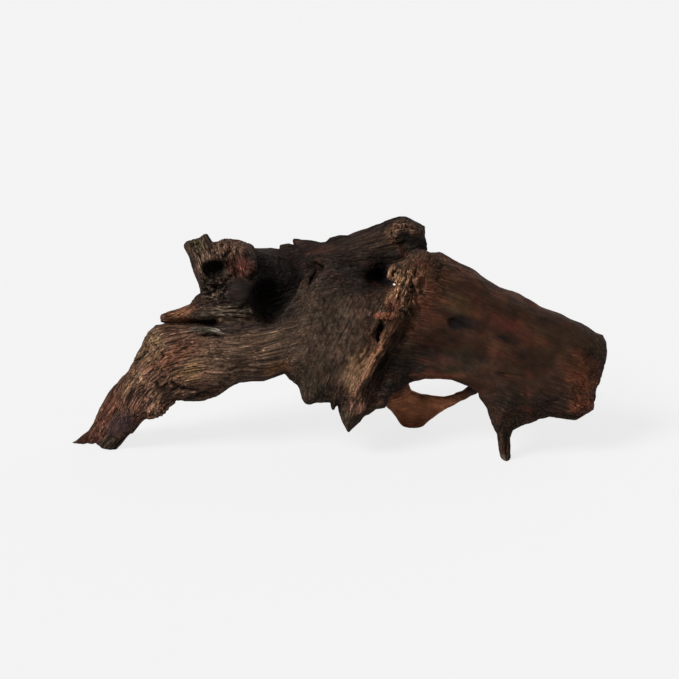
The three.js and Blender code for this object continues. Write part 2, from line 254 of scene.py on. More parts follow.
TRUNK_HOLLOWS = [
    ((60, 68, 34), (44, 19, 25), 14),
    ((27, 50, 26), (12, 24, 15), 3),
    ((34, 74, 32), (8, 22, 14), 4),
    ((120, 62, -34), (48, 13, 17), 8),
]
TRUNK_GROOVES = [
    row(1, (79.5, 96.2, 26, 3.8), (87, 92.5, 26, 3.3), (97, 88, 25.5, 1.8), (118, 81.5, 25.5, 0.7)),
    row(1, (77.6, 100.6, 26.5, 1.4), (78, 92, 26.5, 2.2)),
    row(2, (98, 62, 26, 0.4), (130, 58, 26, 0.9), (150, 60, 23.5, 0.3)),
    row(2, (132, 100, 19, 0.5), (152, 90, 19, 1.1), (176, 76, 14.5, 0.5)),
]
TRUNK_GRAIN = [(20, 116), (66, 116), (120, 92), (150, 78), (192, 66)]
TRUNK_STAINS_AND_PAINTED_SHADE = [
    ((115, 84, 0), (92, 70, 90), -20, (44, 26, 16), 0.95),
    ((120, 93, 14), (18, 6, 40), -25, (80, 38, 27), 0.65),
    ((104, 126, 6), (60, 8, 60), -27, (70, 41, 27), 0.7),
    ((66, 128, 10), (20, 18, 40), -40, (64, 40, 26), 0.7),
    ((172, 57, 6), (15, 14, 50), 0, (100, 56, 35), 0.8),
    ((171, 38, 4), (13, 8, 50), 0, (108, 62, 42), 0.7),
    ((158, 79, 10), (34, 20, 50), -20, (44, 31, 19), 0.7),
    # Painted shade: the scooped hollow and the hollows beside the rim are darkened in colour
    ((66, 69, 14), (36, 10, 40), 4, (31, 24, 19), 0.85),
    ((38, 60, 8), (16, 22, 40), 30, (32, 26, 22), 0.88),
    ((84, 107, 20), (15, 8, 30), -30, (66, 49, 30), 0.6),
    # Painted shade: near-black patches fill the wedge-shaped scoop and the crack that runs on from it
    ((91, 93.5, 18), (18, 5.2, 30), -27, (30, 21, 19), 0.85),
    ((80.5, 96, 18), (5, 5.4, 30), -10, (12, 10, 10), 0.93),
    ((94, 88.8, 18), (18, 1.9, 30), -23, (14, 11, 11), 0.9),
    ((107, 85.5, 18), (19, 2.3, 30), -10, (11, 9, 9), 0.9),
    ((124, 46, 8), (26, 16, 40), 10, (38, 28, 22), 0.6),
    ((147, 42, 8), (18, 9, 40), 0, (44, 32, 28), 0.65),
    ((70, 58.5, 8), (22, 4, 40), 0, (92, 52, 36), 0.75),
    ((84, 84, 20), (26, 7, 40), 12, (54, 33, 23), 0.6),
    ((60, 100, 22), (10, 14, 40), 0, (64, 38, 26), 0.6),
]


def limb(form, u, v, w):
    """A row of balls joined by cones."""
    nearest = np.full(np.shape(u), np.inf)
    for a, b in zip(form["balls"], form["balls"][1:]):
        d = [b[k] - a[k] for k in range(3)]
        p = [u - a[0], v - a[1], w - a[2]]
        along = p[0] * d[0] + p[1] * d[1] + p[2] * d[2]
        t = np.clip(along / (d[0] ** 2 + d[1] ** 2 + d[2] ** 2), 0, 1)
        away = np.sqrt(sum((p[k] - t * d[k]) ** 2 for k in range(3)))
        nearest = np.minimum(nearest, away - a[3] - t * (b[3] - a[3]))
    return nearest


# The back wall
# What is left of the far side of the hollowed root: a tall plate with a broken top edge and
# a knob at its right end. A rib and a buttress carry it on the back of the body.
WALL = {
    "outline": [
        (-66, 108), (-64, 148.6), (-57, 147.8), (-50, 148), (-42, 147), (-41.5, 149.8),
        (-36, 150.6), (-31.8, 150.3), (-32, 154.4), (-28, 154.6), (-23, 153.8), (-18, 152.3),
        (-13, 151.8), (-9, 152.8), (-6, 155.6), (0, 156.8), (6, 157.3), (11, 159.6), (16, 161),
        (22, 162.6), (29, 164.8), (32, 167), (37, 168.8), (42, 169.8), (46, 169.5), (51, 168),
        (55, 166), (59.3, 163.3), (59.6, 156), (59.3, 150), (60, 145), (66, 128), (58, 108),
        (0, 92), (-58, 94),
    ],
    "depths": [
        (-66, -46, -22), (-35, -52, -29), (0, -50, -20), (30, -44, -14), (64, -36, -14),
    ],
    "reach": 12,
    "lean": -0.22,
    "level": 84,
    "soft": 8,
}
BACK_RIB = row(14, (-120, 66, -20, 10), (-80, 84, -30, 11), (-30, 104, -38, 12))
BACK_BUTTRESS = row(8, (38, 140, -42, 9), (62, 120, -36, 12), (98, 98, -20, 15))
SADDLE = row(16, (-12, 133, -22, 11), (16, 130, -24, 10))
WALL_KNOB = row(5, (44, 160, -24, 8.5), (50, 157, -25, 8.5), (52, 148, -24, 9))
WALL_HOLLOWS = [
    ((-48, 113, 4), (14, 20, 30), 3),
    ((-24, 131, -4), (15, 10, 16), 3),
    ((28, 128.6, 4), (11, 8, 29), 2.5),
    ((-20, 62, -36), (60, 16, 22), 6),
    ((45.6, 155, -12), (4.6, 7.2, 11), 1.5),
]
WALL_GRAIN = [(-66, 120), (-20, 134), (30, 150), (64, 158)]
WALL_STAINS_AND_PAINTED_SHADE = [
    # The whole wall is darkened: partly its own dark wood, partly painted shade behind the body
    ((0, 140, -40), (86, 44, 36), 12, (22, 16, 14), 0.92),
    ((20, 153, -30), (44, 10, 24), 14, (48, 35, 28), 0.7),
    ((-14, 148, -30), (14, 4, 20), 6, (62, 37, 29), 0.65),
    ((44, 161, -22), (19, 9, 24), 0, (78, 57, 44), 0.85),
    # Painted shade: near-black patches in the knob's hollow, the crease under the knob, the cave at the
    # left end and the pocket behind the rim
    ((45.4, 155.5, -12), (5.4, 8, 14), 0, (14, 11, 9), 0.95),
    ((53, 147, -18), (10, 11, 30), 0, (17, 13, 12), 0.88),
    ((-46, 114, -8), (23, 26, 38), 0, (31, 27, 24), 0.9),
    ((27.5, 129, -14), (16, 11, 50), 0, (7, 6, 6), 0.96),
]


# The burl, its stub and the ledge
# A gnarled swelling on the root, with the stub of a broken branch leaning out of it to the
# left, and under it a ledge of wood that split away along the grain.
BURL_ROOT = row(8, (-74, 136, -22, 12), (-48, 133, -40, 11))
BURL_BRIDGE = row(10, (-68, 120, -12, 10), (-54, 120, -26, 11), (-40, 124, -38, 9))
BURL_GRAIN = [(-83, 110), (-88, 134), (-97, 162)]
STUB = {
    "outline": [
        (-97, 118), (-98, 124), (-100.5, 130), (-105, 140), (-109, 148), (-109.2, 150.6),
        (-107, 152.6), (-101, 154.6), (-97, 156.5), (-95, 158), (-93, 158), (-91, 154),
        (-88.6, 150.5), (-86, 141), (-78, 128), (-80, 116),
    ],
    "depths": [(-110, -15, 0), (-98, -20, 3), (-78, -24, 4)],
    "reach": 7,
    "lean": 0.1,
    "level": 136,
    "soft": 3,
}
LEDGE_FILL = row(7, (-77, 95, 0, 6), (-63, 96.5, -5, 6))
LEDGE_WEB = row(4, (-116, 98, -16, 5), (-92, 99, -15, 8), (-60, 100, -18, 9))
BURL_THREADS = [
    row(1, (-97, 126, 1, 0.8), (-91, 120, 4.5, 1), (-85, 114.5, 5, 0.8), (-77, 110, 4, 0.6)),
    row(1, (-86, 128, 4, 0.9), (-83, 124, 6, 0.9), (-86, 118, 5, 0.8), (-90, 112, 4, 0.6)),
    row(1, (-97, 130, 2, 0.9), (-95, 124, 4, 0.9), (-96, 118, 3, 0.7)),
    row(1, (-80, 106, 5, 0.8), (-70, 109, 6, 1), (-62, 112, 4, 0.7)),
    row(1, (-88, 105, 5, 0.8), (-76, 104.5, 7, 1), (-62, 103, 5, 0.8)),
    row(1, (-96, 102, 4, 0.8), (-82, 101.5, 7, 1), (-66, 100.5, 6.5, 0.8)),
    row(1.5, (-95, 141, 2, 0.9), (-88, 142, 4, 1.1), (-79, 140, 4, 0.9)),
    row(1, (-90, 143, 2, 1), (-87, 147, 2, 1.2), (-84, 151, 0, 1)),
    row(1, (-83, 142, 4, 1), (-80, 147, 3, 1.2), (-78, 152, -2, 1)),
    row(1, (-75, 141, 3, 1), (-73, 146, 2, 1.2), (-72, 151, -4, 1)),
]
LEDGE = {
    "outline": [
        (-125, 97.3), (-124.8, 101.5), (-120, 103.8), (-115, 105), (-110, 106.3),
        (-104, 108.5), (-97, 113.5), (-84, 115), (-70, 112), (-58, 106.5), (-47, 101.5),
        (-50, 98.5), (-64, 98.3), (-85, 97.5), (-105, 96.5),
    ],
    "depths": [(-125, -20, -3), (-95, -26, 6), (-62, -30, 4), (-46, -36, -6)],
    "reach": 6,
    "lean": -0.3,
    "level": 100,
    "soft": 4,
}
BURL_LUMPS = [
    ((-76, 139, -12), (17, 13.5, 15)),
    ((-70, 117, -4), (13, 10.5, 13)),
    ((-71, 147, -20), (11, 6, 12)),
    ((-83, 146.5, -8), (8, 5.5, 9)),
    ((-86, 140, -5), (8, 8, 9)),
    ((-76, 149, -10), (9, 4.2, 9)),
    ((-68, 144, -6), (6, 5, 8)),
    ((-64, 135, -5), (6, 7, 8)),
    ((-90, 111, -6), (12, 7, 12)),
]
FLAKE = {
    "outline": [
        (-104, 92.5), (-99, 94.3), (-92, 93), (-86, 91.4), (-81.5, 89), (-87, 88.8), (-92, 89.4),
        (-96, 87.4), (-101, 89.5),
    ],
    "depths": [(-110, 2, 7.5), (-96, 3, 11.5), (-82, 4, 11.5)],
    "reach": 1.2,
    "lean": -0.9,
    "level": 90,
    "soft": 1,
}
BURL_HOLLOWS = [
    ((-96, 96.4, 13), (18, 1.3, 16), 1),
    ((-87.5, 133.5, 6), (9, 6.8, 15), 1.5),
    ((-71, 128.4, 6), (11, 1.5, 5), 1.5),
    ((-91, 86.8, 13), (9, 1.3, 4), 0.8),
    ((-89, 94, 12), (6, 1.2, 6), 0.8),
    ((-101, 150.5, 3), (5, 3, 4), 1.5),
    ((-87, 119, 6), (3, 6, 5), 2),
]
BURL_STAINS_AND_PAINTED_SHADE = [
    ((-78, 130, -10), (32, 32, 40), 0, (40, 29, 24), 0.92),
    ((-78, 149, -10), (20, 9, 30), 0, (80, 58, 46), 0.85),
    ((-70, 136, -4), (12, 8, 20), -25, (78, 42, 34), 0.55),
    ((-70, 117, 2), (15, 12, 24), 0, (28, 24, 22), 0.92),
    # Painted shade in the cave between the burl and the wall
    ((-54, 128, -20), (12, 20, 30), 0, (18, 15, 14), 0.85),
    ((-95, 138, -8), (7, 14, 24), 20, (92, 72, 58), 0.8),
    ((-99, 152, -2), (8, 5, 16), 0, (62, 56, 40), 0.85),
    # Painted shade in the burl's hollow by the stub
    ((-87.5, 133.5, 0), (10, 7.5, 22), 0, (14, 15, 12), 0.95),
    ((-112, 102, -6), (16, 6, 24), 20, (92, 60, 42), 0.85),
    ((-84, 103, 2), (26, 5, 24), 4, (62, 53, 43), 0.75),
    # Painted shade in the crack under the ledge
    ((-93, 96, 4), (17, 1.7, 30), -3, (12, 10, 9), 0.95),
    ((-94, 91.5, 10), (10, 2.6, 16), -8, (80, 74, 62), 0.7),
    ((-87, 90.4, 10), (5, 1.2, 16), -8, (172, 164, 146), 0.8),
    # Painted shade under the flake and in the hollow beside it
    ((-90, 87, 10), (11, 1.5, 14), -5, (16, 13, 11), 0.9),
    ((-89, 93.8, 8), (8, 1.7, 14), -16, (16, 14, 12), 0.88),
]


# The rim
# The broken edge of the hollow trunk, which stands forward of its face as a stringy seam
# from the top down to the middle leg, with a curled finger and a spur at its upper end.
RIM = row(
    5,
    (55, 139, 9, 8), (47, 131, 18, 7), (46, 118, 22, 7.5), (40, 107, 23, 6.5),
    (35, 96, 24, 4.6), (31.5, 87, 24, 3.8), (29, 77, 23.5, 3.4), (24, 68, 22.5, 3.2),
    (18.5, 58.5, 21.5, 3), (15, 51, 20.5, 2.8), (13.6, 43, 19.5, 2.4), (12, 37, 20, 2),
)
RIM_SIDE = row(10, (60, 135, 12, 8.5), (58, 120, 14, 11), (53, 104, 14, 9))
RIM_TOP = row(3, (47, 133, 20, 5), (41, 130, 25, 5.5), (44, 120, 25, 6), (40, 111, 26, 4.6))
RIM_FINGER = row(
    1.2,
    (45, 135.5, 25, 3.6), (40, 135, 28, 2.7), (36.4, 132, 29, 2.2), (35.8, 128.4, 29, 2),
    (38.4, 126.6, 28.5, 1.6),
)
RIM_SPUR = row(1, (42, 100.6, 29, 3.6), (34, 101.6, 31.5, 3.1), (25.5, 101.8, 29.5, 1.7))
RIM_CURL = row(1, (12, 37, 21, 2), (14.4, 34.2, 21, 1.8), (17, 36, 20.5, 1.6), (16.6, 39.4, 20, 1.3))
RIM_THREADS = [
    row(1, (60, 130, 22, 1.2), (53, 125, 28, 1.7), (55, 116, 27, 1.4), (60, 109, 25.5, 1)),
    row(1, (56, 138, 19, 1.2), (50, 131, 26, 1.8), (52, 122, 28, 1.5), (58, 114, 26, 1)),
    row(1, (48, 138, 21, 1.4), (43, 131, 29, 1.8), (46, 122, 31, 1.6), (43, 113, 30, 1.2)),
    row(1, (36, 117, 27, 1.2), (33, 110, 28, 1.7), (36, 103, 28, 1.4), (33, 96, 27, 1)),
    row(1, (49, 129, 29, 1.3), (47, 122, 31.5, 1.6), (50, 114, 29.5, 1.4), (56, 105, 26, 1)),
    row(1, (42, 125, 31, 1.3), (45, 117, 32, 1.6), (44, 108, 30.5, 1.4), (50, 101, 27.5, 1)),
    row(1, (39, 119, 28, 1.1), (37, 112, 29, 1.4), (40, 104, 29, 1.2), (39, 96, 27, 0.9)),
]
RIM_CREST = row(
    1,
    (31, 86, 27.5, 1.2), (28.4, 77, 26.8, 1.4), (23, 67.5, 25.4, 1.4), (17.6, 58.5, 24, 1.4),
    (14.4, 51, 22.8, 1.3), (13, 43, 21.6, 1.2), (11.8, 37, 21.6, 1),
)
RIM_HOLLOWS = [
    ((29.2, 92.5, 30), (2.3, 5, 13), 1),
    ((27, 86.5, 30), (1.9, 4.6, 13), 1),
    ((37, 123, 31), (3.2, 3.4, 15), 1),
    ((38.4, 123, -10), (1.7, 1.6, 70), 0.5),
    ((39.2, 131.9, 33), (1.5, 1.1, 9), 0.5),
    ((41.4, 131, 33), (1.5, 0.9, 9), 0.5),
    ((38, 130, 33), (0.9, 1.4, 9), 0.5),
    ((51, 119, 32), (2.4, 3.6, 5), 2),
    ((41.5, 116, 33), (1.6, 4, 5), 1.5),
]
RIM_GRAIN = [(3, 12), (12, 42), (24, 70), (36, 92), (44, 115), (58, 146), (64, 160)]
RIM_STAINS_AND_PAINTED_SHADE = [
    ((26, 76, 26), (7, 40, 20), -28, (112, 81, 59), 0.75),
    ((12, 62, 22), (9, 18, 20), -20, (120, 91, 67), 0.75),
    ((44, 121, 26), (13, 20, 24), -20, (108, 77, 55), 0.88),
    ((57, 122, 22), (9, 16, 26), 10, (78, 48, 34), 0.7),
    ((37, 131, 28), (5, 6, 12), 0, (116, 86, 64), 0.8),
    ((32, 101.7, 30), (11, 3.4, 10), 0, (156, 96, 73), 0.88),
    # Painted shade in the small holes under the finger
    ((40.4, 130.8, 28), (3, 1.6, 9), -10, (34, 24, 18), 0.8),
    ((38, 110, 26), (6, 7, 12), 0, (92, 48, 38), 0.75),
    # Painted shade: dark patches in the rim's hollows and in the hole through it
    ((28, 89, 25), (3.4, 8.5, 10), -18, (8, 7, 7), 0.95),
    ((38, 123, 20), (4, 4, 14), 0, (12, 9, 8), 0.9),
    ((51, 119, 28), (3, 4, 10), 0, (40, 25, 17), 0.6),
    ((24.5, 70, 24), (18, 2.2, 14), 66, (118, 80, 60), 0.7),
    ((15, 50, 22), (12, 2.2, 14), 74, (118, 82, 64), 0.7),
    ((13.6, 36.6, 21), (4.8, 5.2, 10), 0, (150, 106, 88), 0.75),
]


# The peg and the root fin
# Two roots that reach the ground: a thin worn peg under the trunk, and a smooth red-brown
# fin that curves down behind, leaving a loop that light shows through.
PEG = {
    "outline": [
        (100, 44), (105, 36), (107.8, 27), (110.4, 18), (111.4, 8), (113, 2), (113.8, -6),
        (119.8, -6), (119.3, 6), (118.6, 15), (121, 21), (127, 28), (128, 44),
    ],
    "depths": [(100, -12, 18), (112, -2, 15), (120, -2, 14), (128, -10, 16)],
    "reach": 4,
    "lean": 0.15,
    "level": 20,
    "soft": 6,
}
PEG_GRAIN = [(115, 44), (116, -8)]
FIN = {
    "outline": [
        (31, 39.5), (30, 48), (38, 55), (47, 54), (51, 49), (57, 46.3), (64, 45), (73, 44.3),
        (80, 45.5), (86, 48), (91, 52), (99, 56), (104, 49), (97, 47), (90, 44.2), (80, 39.2),
        (70, 33), (60, 25.5), (55, 20.4), (47, 20.4), (42, 26), (36, 35),
    ],
    "depths": [(30, -82, -60), (50, -83, -64), (75, -76, -60), (104, -60, -42)],
    "reach": 5,
    "lean": 1.3,
    "level": 22,
    "soft": 5,
}
FIN_ROOT = row(10, (37, 49, -38, 8), (38, 64, -28, 12), (46, 84, -20, 15))
FIN_TOE = row(5, (52, 30, -64, 6.5), (51, 22, -70, 5))
FOOT_STAINS_AND_PAINTED_LIGHT = [
    # The fin's red-brown is made far brighter than the wood: partly its own colour, partly painted
    # light where the body shades it
    ((62, 38, -58), (52, 24, 40), 10, (170, 108, 76), 0.95),
    ((116, 16, 4), (10, 22, 24), 0, (50, 36, 27), 0.7),
    ((117, 2, 6), (4, 3.5, 14), 0, (96, 82, 70), 0.7),
]


# The skin
# Weathering stands the hard grain out as ridges that follow each limb, and drying opens
# cracks along them. The forms are sampled as one field, cut flat where they stand on the
# ground, and the grain is pressed into the skin afterwards.
NOISE_SIZE = 4096
NOISE_SEED = 74
CORNER_SCATTER = (1619, 31337, 6971)
SEED_SCATTER = 1013
SCRAMBLE = 60493
noise_table = np.random.default_rng(NOISE_SEED).uniform(-1, 1, NOISE_SIZE)


def noise(x, y, z, seed):
    """Smooth noise between -1 and 1, whose ups and downs are about 2 apart."""
    corner = [np.floor(a).astype(np.int64) for a in (x, y, z)]
    part = [a - c for a, c in zip((x, y, z), corner)]
    part = [p * p * (3 - 2 * p) for p in part]
    total = 0
    for dx in (0, 1):
        for dy in (0, 1):
            for dz in (0, 1):
                moved = (corner[0] + dx, corner[1] + dy, corner[2] + dz)
                mix = sum(c * scatter for c, scatter in zip(moved, CORNER_SCATTER))
                mix = mix + seed * SEED_SCATTER
                mix = (mix ^ (mix >> 7)) * SCRAMBLE
                value = noise_table[(mix ^ (mix >> 11)) & (NOISE_SIZE - 1)]
                weight = (part[0] if dx else 1 - part[0]) * (part[1] if dy else 1 - part[1])
                total = total + value * weight * (part[2] if dz else 1 - part[2])
    return total


def even_noise(length, u, v, w, seed):
    """Noise of the same length every way."""
    return noise(u / length, v / length, w / length, seed)


def smooth_step(low, high, x):
    """0 below low, 1 above high, and a smooth rise between them."""
    t = np.clip((x - low) / (high - low), 0, 1)
    return t * t * (3 - 2 * t)


MM = 0.001
# The viewer looks from this far above level, and this far away, at the target, where u is 0
VIEW_ELEVATION = math.radians(15)
VIEW_DISTANCE = 1200
TARGET = (-0.75, -20.5, 79.3)
TARGET_V = 84.3


def picture_place(points):
    """The u, v and w of points given in millimetres in the part's own frame."""
    sin, cos = math.sin(VIEW_ELEVATION), math.cos(VIEW_ELEVATION)
    back = points[:, 1] - TARGET[1]
    up = points[:, 2] - TARGET[2]
    w = up * sin - back * cos
    near = VIEW_DISTANCE / (VIEW_DISTANCE - w)
    return (points[:, 0] - TARGET[0]) * near, (back * sin + up * cos) * near + TARGET_V, w


# Each unevenness is how far it goes, how long it is and its seed
UNEVEN_ALONG = (0.8, 9, 1)
UNEVEN_UP = (0.8, 9, 2)
UNEVEN_DEEP = (2, 16, 3)
UNEVEN_DEEP_FINE = (0.8, 6, 4)


def uneven(kind, u, v, w):
    """How far the wood bulges or sinks at each point."""
    most, length, seed = kind
    return most * even_noise(length, u, v, w, seed)


def wood_at(points):
    """The distance from the wood, negative inside it."""
    u, v, w = picture_place(points)
    along, up = uneven(UNEVEN_ALONG, u, v, w), uneven(UNEVEN_UP, u, v, w)
    deep = uneven(UNEVEN_DEEP, u, v, w) + uneven(UNEVEN_DEEP_FINE, u, v, w)
    u, v, w = u + along, v + up, w + deep
    d = pillow(LEG, u, v, w)
    for form in (TRUNK, WALL):
        d = blend(d, pillow(form, u, v, w), form["soft"])
    for form in (BACK_RIB, BACK_BUTTRESS, SADDLE, FIN_ROOT):
        d = blend(d, limb(form, u, v, w), form["soft"])
    d = blend(d, pillow(LEDGE, u, v, w), LEDGE["soft"])
    for form in (BURL_ROOT, BURL_BRIDGE, LEDGE_FILL, LEDGE_WEB, RIM_SIDE):
        d = blend(d, limb(form, u, v, w), form["soft"])
    d = blend(d, pillow(STUB, u, v, w), STUB["soft"])
    for one in LEG_LUMPS + BURL_LUMPS:
        d = blend(d, lump(one, u, v, w), LUMP_SOFT)
    for centre, radii, soft in LEG_HOLLOWS + TRUNK_HOLLOWS + WALL_HOLLOWS + BURL_HOLLOWS:
        d = -blend(-d, lump((centre, radii), u, v, w), soft)
    for form in TRUNK_GROOVES:
        d = -blend(-d, limb(form, u, v, w), form["soft"])
    d = blend(d, pillow(FLAKE, u, v, w), FLAKE["soft"])
    thin_forms = [
        RIM, RIM_TOP, RIM_CREST, RIM_FINGER, RIM_SPUR, RIM_CURL, BACK_STUMP, WALL_KNOB,
        FOOT_BLOCK, BODY_CREST,
    ]
    for form in thin_forms + RIM_THREADS + BURL_THREADS:
        d = blend(d, limb(form, u, v, w), form["soft"])
    for centre, radii, soft in RIM_HOLLOWS:
        d = -blend(-d, lump((centre, radii), u, v, w), soft)
    for form in (PEG, FIN):
        d = blend(d, pillow(form, u, v, w), form["soft"])
    d = blend(d, limb(FIN_TOE, u, v, w), FIN_TOE["soft"])
    return np.maximum(d, -points[:, 2])


GRAIN_SPREAD = 12


def grain_place(line, u, v):
    """How far each point lies along a line of the grain, and to the side of it."""
    total = np.zeros(len(u))
    along = np.zeros(len(u))
    aside = np.zeros(len(u))
    start = 0
    for (au, av), (bu, bv) in zip(line, line[1:]):
        du, dv = bu - au, bv - av
        length = math.hypot(du, dv)
        t = ((u - au) * du + (v - av) * dv) / length ** 2
        held = np.clip(t, 0, 1)
        away = np.hypot(u - au - held * du, v - av - held * dv)
        weight = np.exp(-away / GRAIN_SPREAD) + 1e-9
        total += weight
        along += weight * (start + t * length)
        aside += weight * ((v - av) * du - (u - au) * dv) / length
        start += length
    return along / total, aside / total


# A fade says which way it goes, where a limb's grain has no share yet and where it has all
RIM_FADES = (("beside", 78, 16), ("beside", -16, -6), ("w", -8, 2))
BELOW_RIM_TOP = (("v", 124, 108),)
RIGHT_OF_TROUGH = (("u", 24, 34),)
WALL_FADES = (("v", 98, 108), ("w", -10, -18), ("u", 68, 54))
PEG_FADES = (("v", 34, 24), ("u", 98, 104), ("u", 132, 124))
BURL_FADES = (("v", 122, 133), ("u", -60, -68))
FRONT_HALF = (("w", -20, -4),)
TRUNK_IN_FRONT = (("beside", 6, -4),)
TRUNK_BEHIND = (("u", 20, 70),)
WALL_BEHIND = -9


def faded(fades, place):
    """How much share is left after every fade."""
    share = 1.0
    for way, none, whole in fades:
        share = share * smooth_step(none, whole, place[way])
    return share


def grain_at(u, v, w):
    """Three sets of grain places, each along, aside and deep, and the share of each set."""
    leg, trunk, rim, wall, peg, burl = [
        np.stack([*grain_place(line, u, v), w], axis=1)
        for line in (LEG_GRAIN, TRUNK_GRAIN, RIM_GRAIN, WALL_GRAIN, PEG_GRAIN, BURL_GRAIN)
    ]
    place = {"u": u, "v": v, "w": w, "beside": rim[:, 1]}
    near_rim = faded(RIM_FADES, place)
    near_rim *= np.maximum(faded(BELOW_RIM_TOP, place), faded(RIGHT_OF_TROUGH, place))
    on_wall, on_peg, on_burl = [faded(fades, place) for fades in (WALL_FADES, PEG_FADES, BURL_FADES)]
    third = np.where((w > WALL_BEHIND)[:, None], rim, wall)
    third = np.where((on_peg > 0)[:, None], peg, third)
    third = np.where((on_burl > 0)[:, None], burl, third)
    front = faded(FRONT_HALF, place)
    right = front * faded(TRUNK_IN_FRONT, place) + (1 - front) * faded(TRUNK_BEHIND, place)
    special = np.clip(near_rim + on_wall + on_peg + on_burl, 0, 1)
    shares = np.stack([(1 - special) * (1 - right), (1 - special) * right, special], axis=1)
    return (leg, trunk, third), shares


# Each pattern of the grain is its length, its width and its seed
GRAIN_WANDER = (30, 12, 5)
BROAD_RIDGES = (46, 4.2, 6)
FINE_RIDGES = (38, 1.7, 7)
CRACKS = (55, 5, 8)
CRACKED_STRETCHES = (36, 12, 9)
WANDER_FAR = 2
BROAD_HEIGHT = 0.6
FINE_HEIGHT = 1.1
CRACK_DEPTH = 1.7
CRACK_WIDTH = 0.17
CRACKED_FROM = -0.15
CRACKED_TO = 0.3


def drawn_out(pattern, along, aside, deep):
    """Noise that is long along the grain and narrow across it."""
    length, width, seed = pattern
    return noise(along / length, aside / width, deep / width, seed)


def ridges(place):
    """The height of the weathered grain at a place along it, aside and deep."""
    along, aside, deep = place.T
    aside = aside + WANDER_FAR * drawn_out(GRAIN_WANDER, along, aside, deep)
    broad = drawn_out(BROAD_RIDGES, along, aside, deep)
    fine = 0.5 - np.abs(drawn_out(FINE_RIDGES, along, aside, deep))
    crack = smooth_step(CRACK_WIDTH, 0, np.abs(drawn_out(CRACKS, along, aside, deep)))
    stretches = drawn_out(CRACKED_STRETCHES, along, aside, deep)
    crack = crack * smooth_step(CRACKED_FROM, CRACKED_TO, stretches)
    return BROAD_HEIGHT * broad + FINE_HEIGHT * fine - CRACK_DEPTH * crack


ZONE_CORE = 0.4


def zone(middle, size, u, v, w):
    """1 in the core of a soft zone, falling to 0 at its edge."""
    away = np.sqrt(sum(((x - c) / s) ** 2 for x, c, s in zip((u, v, w), middle, size)))
    return smooth_step(1, ZONE_CORE, away)


# Loose fibres lie in tangles on the torn wood: the middle, the size and how much shows
TANGLES = [
    ((-87, 118, 4), (12, 11, 12), 0.9),
    ((-80, 130, 6), (9, 6, 12), 0.6),
    ((-76, 104, 4), (24, 5, 12), 0.8),
    ((-80, 147, 0), (14, 8, 16), 0.5),
    ((44, 121, 27), (14, 20, 13), 1.0),
    ((57, 118, 24), (7, 10, 9), 0.6),
    ((14, 48, 22), (8, 14, 8), 0.5),
    ((-129, 39, 0), (14, 8, 14), 0.5),
]


def tangled(u, v, w):
    """How much of each point lies under loose fibres."""
    most = np.zeros(len(u))
    for middle, size, level in TANGLES:
        most = np.maximum(most, level * zone(middle, size, u, v, w))
    return most


# Water wore the grain down in some zones: the middle, the size and how much of it stands
WORN = [
    ((-140, 55, -8), (60, 60, 60), 1.3),
    ((115, 84, 0), (96, 70, 90), 0.15),
    ((-2, 84, 20), (36, 46, 30), 0.42),
    ((0, 130, -44), (80, 50, 26), 0.55),
    ((60, 38, -56), (50, 24, 40), 0.25),
    ((-84, 128, -10), (34, 36, 40), 0.95),
    ((-70, 117, 4), (14, 11, 20), 0.15),
    ((-154, 22, -14), (14, 10, 40), 0.4),
]
# Where the grain ran wild it gives way to knots: the middle, the size and how much they show
GNARLED = [
    ((-128, 46, -2), (24, 16, 30), 0.2),
    ((0, 86, 20), (32, 44, 30), 0.34),
    ((-86, 122, -2), (16, 18, 28), 0.55),
    ((44, 160, -22), (20, 12, 24), 0.9),
    ((45, 118, 24), (14, 20, 24), 0.6),
    ((26, 90, 26), (12, 40, 18), 0.5),
    ((12, 45, 18), (9, 14, 16), 0.3),
]
WORN_ELSEWHERE = 0.7
CURL_LENGTH = 7
KNOT_LENGTH = 3.8
KNOT_DEPTH = 2.4
PIT_LENGTH = 1.9
PIT_DEPTH = 1.4
BUMP_LENGTH = 6
BUMP_HEIGHT = 1.1
KNOT_CURL = 2
GNARL_HEIGHT = 1.5
GRAIN_LOST_TO_GNARL = 0.6
WRINKLED = ((-129, 36, -2), (13, 8, 20))
WRINKLE_SLOPE = math.radians(32)
WRINKLE_PITCH = 2.8
WRINKLE_HEIGHT = 0.6
WRINKLE_CURL = 1.5
FULL_TURN = 2 * math.pi


def knots_at(curl, u, v, w):
    """Knots, pits and bumps, curled round each other."""
    turned = KNOT_CURL * curl
    knots = noise(u / KNOT_LENGTH + turned, v / KNOT_LENGTH, w / KNOT_LENGTH - turned, 11)
    pits = noise(u / PIT_LENGTH, v / PIT_LENGTH + turned, w / PIT_LENGTH, 12)
    knots = 0.5 - np.abs(knots) * KNOT_DEPTH
    knots = knots + 0.5 - np.abs(pits) * PIT_DEPTH
    return knots + BUMP_HEIGHT * even_noise(BUMP_LENGTH, u, v, w, 13)


